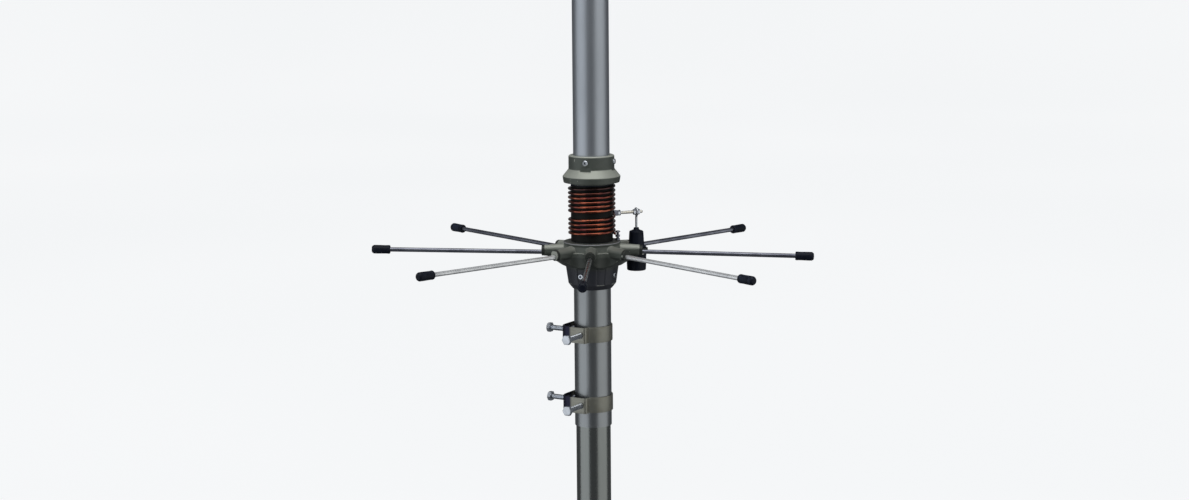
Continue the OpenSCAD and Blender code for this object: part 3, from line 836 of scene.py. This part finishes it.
def build_socket(axis):
    """The threaded barrel with its bore, the flange under the hub's ear, and the nut above it."""
    lo, hi = span("connector_shell")
    flange_r = (hi.x - lo.x) / 2
    step_r = flange_r - 3
    ear = lo.z + SOCKET_TO_EAR
    bm = bmesh.new()
    add_thread(bm, SOCKET_THREAD_R, SOCKET_PITCH, lo.z, ear - 1.6, 48)
    barrel = mesh_object("coax_socket_shell", bm)
    mouth, bottom = lo.z - 1, lo.z + SOCKET_BORE_DEPTH
    bm = bmesh.new()
    add_lathe(bm, [(0, mouth, 0), (SOCKET_BORE_R, mouth, 0), (SOCKET_BORE_R, bottom, 0), (0, bottom, 0)], 48)
    drilled(barrel, [mesh_object("bore", bm)])
    bm = bmesh.new()
    add_lathe(bm, [
        (4, ear - 4.5, 0), (step_r, ear - 4.5, 0.3), (step_r, ear - 2, 0), (flange_r, ear - 2, 0.4),
        (flange_r, ear, 0.4), (SOCKET_NECK_R, ear, 0), (SOCKET_NECK_R, hi.z, 0.4), (4, hi.z, 0.2)
    ])
    shell = joined("coax_socket_shell", [barrel, mesh_object("flange", bm)])
    stand_for(placed(shell, axis), "antenna_base", ["connector_shell"], "brass")

    nut_lo, nut_hi = span("connector_nut")
    bm = bmesh.new()
    add_hex(bm, SOCKET_NUT_FLATS, nut_lo.z, nut_hi.z, SOCKET_NECK_R + 0.05, both_ends=True)
    stand_for(placed(mesh_object("coax_hex_nut", bm), axis), "antenna_base", ["connector_nut"], "zinc")


def build_boot(axis):
    """The rubber boot over the socket's solder end, with a neck round the link rod."""
    lo, hi = span("connector_boot")
    rim_r = (hi.x - lo.x) / 2
    body_r = rim_r - 2.1
    shoulder = hi.z - 4.1
    ceiling = shoulder - 2
    boot = turned("coax_boot", [
        (rim_r - 3.2, lo.z, 0.2), (rim_r, lo.z, 0.5), (rim_r, lo.z + 2.1, 0.9),
        (body_r + 0.2, lo.z + 2.5, 0.9), (body_r - 0.2, lo.z + 7, 0.6), (body_r - 0.9, shoulder, 1.6),
        (4.2, shoulder + 1.4, 0.8), (3.2, shoulder + 2.2, 0.4), (2.9, hi.z, 0.5),
        (BOOT_NECK_R, hi.z, 0.1), (BOOT_NECK_R, ceiling, 0), (5.7, ceiling, 0.5), (rim_r - 3.4, lo.z + 4, 0.5)
    ], 80)
    stand_for(placed(boot, axis), "connector_boot", ["connector_boot"], "rubber")


def build_cap(axis):
    """The rubber cap, with grip ribs near its rim."""
    lo, hi = span("connector_cap")
    cap_r = (hi.x - lo.x) / 2
    crest, groove = cap_r - 0.05, cap_r - 0.35
    ribs = []
    for k in range(CAP_RIBS):
        z = hi.z - 2.6 - 1.7 * k
        ribs += [
            (crest, z + 0.45, 0.15), (groove, z + 0.2, 0.15), (groove, z - 0.2, 0.15), (crest, z - 0.45, 0.15)
        ]
    floor = lo.z + 2
    cap = turned("coax_dust_cap", [
        (0, lo.z, 0), (cap_r - 2.4, lo.z, 0.4), (cap_r - 0.6, lo.z + 0.3, 1.3), (groove, lo.z + 4, 2),
        *reversed(ribs),
        (cap_r, hi.z - 1.5, 0.3), (cap_r, hi.z, 0.6), (CAP_BORE_R, hi.z, 0.3),
        (CAP_BORE_R, floor, 0.5), (0, floor, 0)
    ], 80)
    stand_for(placed(cap, axis), "connector_cap", ["connector_cap"], "rubber")


def build_connector():
    axis = connector_axis()
    build_socket(axis)
    build_boot(axis)
    build_cap(axis)


FRONT_ROD = 7
FRONT_RODS = (6, 7, 8)      # the rods that look bright from the front
TIP_BORE = 2.52
TIP_WALL = 4.8              # rubber beyond the end of the rod
TIP_MOUTH_R = 2.9


# painted light by rod: the front rod takes a lit copy of the stainless, the side and back rods a shaded copy
def rod_finish(i):
    if i == FRONT_ROD:
        return "front_lit_stainless"
    return "stainless" if i in FRONT_RODS else "shaded_stainless"


def build_radials():
    """Rubber tips on the eight rods; the rods stay as they are."""
    tip_lo, tip_hi = span("radial_cap_3")
    r = (tip_hi.z - tip_lo.z) / 2
    for i in range(1, 9):
        rod, cap = f"radial_rod_{i}", f"radial_cap_{i}"
        dress(rod, rod_finish(i))
        foot, tip_end = axis_line(rod)
        out = (tip_end - foot).normalized()
        start, end = reach(cap, out)
        length = end - start
        tip = turned(f"rubber_tip_{i}", [
            (0, length, 0), (r - 1.5, length - 0.35, 1.3), (r - 0.1, length - 2.4, 1.4),
            (r - 0.04, length - 6, 3), (r - 0.22, 4.5, 2), (r - 0.02, 1.2, 0.8), (r - 0.5, 0, 0.5),
            (TIP_MOUTH_R, 0, 0.3), (TIP_BORE, 0.4, 0), (TIP_BORE, length - TIP_WALL, 0),
            (0, length - TIP_WALL, 0)
        ], 40)
        stand_for(placed(tip, foot + out * (start - foot.dot(out)), out), "antenna_base", [cap], "rubber")


STRAP_T = 1.5
STRAP_CORNER = 13.8         # radius inside the corner between a strap's two flats
STRAP_TAIL = 5.4            # how far a flat runs on past its bolt
STRAP_BEND = 2.2            # radius of the other bends
STRAP_PLAY = 0.03           # gap between a strap and the base tube
STRAP_EDGE = 0.35           # radius of the strip's own edges
BOLT_HOLE_R = 3.5
BASE_TUBE_R = 21


def strap_path(tube_r, flat):
    """Closed mid-line of a strap in plan, with one flat across +X and the other across +Y."""
    mid = STRAP_T / 2
    r = tube_r + mid + STRAP_PLAY
    tail = STRAP_TAIL + mid
    f = flat - mid
    leave = math.sqrt(r * r - tail * tail)      # where the band leaves the tube for a tail
    touch = math.degrees(math.asin(tail / r))
    arc = [tuple(polar(r, a)[:2]) for a in range(int(90 + touch), int(360 - touch) + 1, 4)]
    bent = fillet([
        (*arc[-1], 0), (leave, -tail, STRAP_BEND), (f, -tail, STRAP_BEND), (f, f, STRAP_CORNER + mid),
        (-tail, f, STRAP_BEND), (-tail, leave, STRAP_BEND), (*arc[0], 0)
    ], closed=False, steps=8)
    return arc[1:-1] + bent


def build_strap(name, node, left, front):
    """A clamp strap bent from strip steel, drilled for its two bolts."""
    tube_hi = span("base_tube")[1]
    lo, hi = span(node)
    z = (lo.z + hi.z) / 2
    half = (hi.z - lo.z) / 2
    flat = reach(node, left)[1]
    spin = math.radians(angle_of(left))
    path = [Vector((x, y, 0)) for x, y in strap_path(tube_hi.x, flat)]
    corners = [(-STRAP_T / 2, -half), (STRAP_T / 2, -half), (STRAP_T / 2, half), (-STRAP_T / 2, half)]
    section = fillet([(*corner, STRAP_EDGE) for corner in corners], steps=2)
    turn = Matrix.Rotation(spin, 3, "Z")
    count = len(path)
    rings = []
    for i, here in enumerate(path):
        along = (path[(i + 1) % count] - path[i - 1]).normalized()
        normal = along.cross(UP)
        rings.append([turn @ (here + normal * a) + UP * (z + b) for a, b in section])
    bm = bmesh.new()
    skin(bm, rings, True)
    strap = mesh_object(name, bm)
    holes = []
    drill = 12              # long enough to run from the base tube out through a flat
    for direction in (left, front):
        hole = turned("hole", [(0, 0), (BOLT_HOLE_R, 0), (BOLT_HOLE_R, drill), (0, drill)], 32)
        holes.append(placed(hole, direction * BASE_TUBE_R + UP * z, direction))
    drilled(strap, holes)
    stand_for(strap, "antenna_base", [node], "strap")


BOLT_R = 3.0
BOLT_PITCH = 1.0
BOLT_FLATS = 10.0
BOLT_HEAD_H = 4.0
BOLT_FACE_R = 4.5           # of the round face under a bolt's head
CLAMP_NUT_T = 5.0
CLAMP_NUT_GAP = 0.25        # between a nut and the base tube
HEX_SPIN = 30               # turns a hexagon so that one of its flats faces up


def hex_bolt(name, node, axis, z):
    """A bolt from its tip to the top of its head, along its own joint's axis."""
    start, end = reach(node, axis)
    length = end - start - BOLT_HEAD_H
    under = length - 0.6
    bm = bmesh.new()
    add_thread(bm, BOLT_R, BOLT_PITCH, 0, length - 0.2, 28)
    add_lathe(bm, [(0, under, 0), (BOLT_FACE_R, under, 0.1), (BOLT_FACE_R, length, 0), (0, length, 0)], 48)
    add_hex(bm, BOLT_FLATS, length - 0.3, length + BOLT_HEAD_H, 0)
    return placed(mesh_object(name, bm), axis * start + UP * z, axis, HEX_SPIN)


def clamp_nut(axis, z):
    """A nut that stands just clear of the base tube, behind a flat."""
    foot = reach("base_tube", axis)[1] + CLAMP_NUT_GAP
    bm = bmesh.new()
    add_hex(bm, BOLT_FLATS, 0, CLAMP_NUT_T, BOLT_R + 0.05, both_ends=True)
    return placed(mesh_object("nut", bm), axis * foot + UP * z, axis, HEX_SPIN)


def build_clamps():
    """Straps, hexagon bolts and the nuts caught behind the straps' flats."""
    nuts = []
    for level in ("upper", "lower"):
        left = JOINT_AXES[f"{level}_left_bolt"]
        front = JOINT_AXES[f"{level}_front_bolt"]
        build_strap(f"{level}_strap_band", f"{level}_clamp_strap", left, front)
        for side, axis in (("left", left), ("front", front)):
            node = f"{level}_{side}_bolt"
            z = middle(node).z
            stand_for(hex_bolt(f"{level}_{side}_hex_bolt", node, axis, z), node, [node], "zinc")
            nuts.append(clamp_nut(axis, z))
    stand_for(joined("clamp_hex_nuts", nuts), "antenna_base", ["clamp_nuts"], "zinc")


AS_IN_CAD = {
    "mast_tube": "mast_alu",
    "base_tube": "base_alu",
    "radiator_tube": "radiator_alu",
    "hub_set_screws": "zinc",
    "collar_set_screws": "zinc",
    "hub_gasket": "rubber",
    "collar_gasket": "rubber",
    "coil_former": "nylon",
    "insulator_core": "core",
    "connector_insulator": "ptfe",
    "connector_contact": "brass",
}


def dress_the_rest():
    for node, material in AS_IN_CAD.items():
        dress(node, material)


# ---------------------------------------------------------------- stage, lights and camera


def build_stage():
    """A round pale floor that sweeps up to a wall all round, and lights nothing by itself.

    mesh_object closes its top, so the wall is higher than a camera over the antenna stands.
    """
    wall_r, wall_h, sweep_r, sides = 6500, 6000, 1300, 96
    bm = bmesh.new()
    outline = fillet([(1, 0), (wall_r, 0, sweep_r), (wall_r, wall_h)], closed=False, steps=16)
    skin(bm, [[polar(r, 360 * k / sides, z) for k in range(sides)] for r, z in outline], False)
    stage = mesh_object("floor_and_backdrop", bm, 80)
    stage.data.materials.append(pale_stage())
    stage.visible_glossy = False
    stage.visible_diffuse = False
    stage.visible_transmission = False
    stage.visible_shadow = False


def build_world():
    world = bpy.data.worlds.new("dim_room")
    world.use_nodes = True
    back = world.node_tree.nodes["Background"]
    back.inputs["Color"].default_value = (0.92, 0.96, 1.0, 1)
    back.inputs["Strength"].default_value = 0.12
    bpy.context.scene.world = world


def softbox(name, azimuth, elevation, distance, width, height, radiance, colour):
    """A soft area light aimed at the hub, in metres. Azimuth 0 is the front, positive to the right."""
    az, el = math.radians(azimuth), math.radians(elevation)
    away = Vector((math.sin(az) * math.cos(el), -math.cos(az) * math.cos(el), math.sin(el)))
    light = bpy.data.lights.new(name, "AREA")
    light.shape = "RECTANGLE"
    light.size = width
    light.size_y = height
    light.energy = radiance * math.pi * width * height
    light.color = colour
    obj = bpy.data.objects.new(name, light)
    bpy.context.scene.collection.objects.link(obj)
    obj.location = hub_centre() * MM + away * distance
    obj.rotation_euler = away.to_track_quat("Z", "Y").to_euler()
    obj.visible_camera = False


def build_lights():
    softbox("left_softbox", -62, -3, 2.2, 2.9, 3.2, 0.80, (0.95, 0.98, 1.0))
    softbox("right_softbox", 66, -3, 2.2, 3.1, 3.2, 0.66, (0.99, 1.0, 0.98))
    softbox("top_softbox", 0, 72, 1.9, 2.6, 2.2, 1.9, (1.0, 1.0, 0.98))


CAMERA = {"azimuth": 2.3, "elevation": 8.9, "distance": 2.4, "roll": -0.45, "lens": 64.36}
CAMERA_AIM = (2.7, 1.9)    # mm to the camera's right of the axis, and above the radials


def build_camera():
    az, el = math.radians(CAMERA["azimuth"]), math.radians(CAMERA["elevation"])
    back = Vector((math.sin(az) * math.cos(el), -math.cos(az) * math.cos(el), math.sin(el)))
    right = Vector((math.cos(az), math.sin(az), 0))
    target = (hub_centre() + right * CAMERA_AIM[0] + UP * CAMERA_AIM[1]) * MM
    roll = Matrix.Rotation(math.radians(CAMERA["roll"]), 3, back)
    right = roll @ right
    up = back.cross(right)
    data = bpy.data.cameras.new("camera")
    data.sensor_width = 36
    data.lens = CAMERA["lens"]
    data.clip_end = 50
    camera = bpy.data.objects.new("camera", data)
    bpy.context.scene.collection.objects.link(camera)
    axes = Matrix((right, up, back)).transposed().to_4x4()
    camera.matrix_world = Matrix.Translation(target + back * CAMERA["distance"]) @ axes
    bpy.context.scene.camera = camera


bpy.context.scene.view_settings.view_transform = "Standard"
build_camera()
build_stage()
build_world()
build_lights()
build_castings()
build_terminals(*build_coil())
build_tap()
build_connector()
build_radials()
build_clamps()
dress_the_rest()
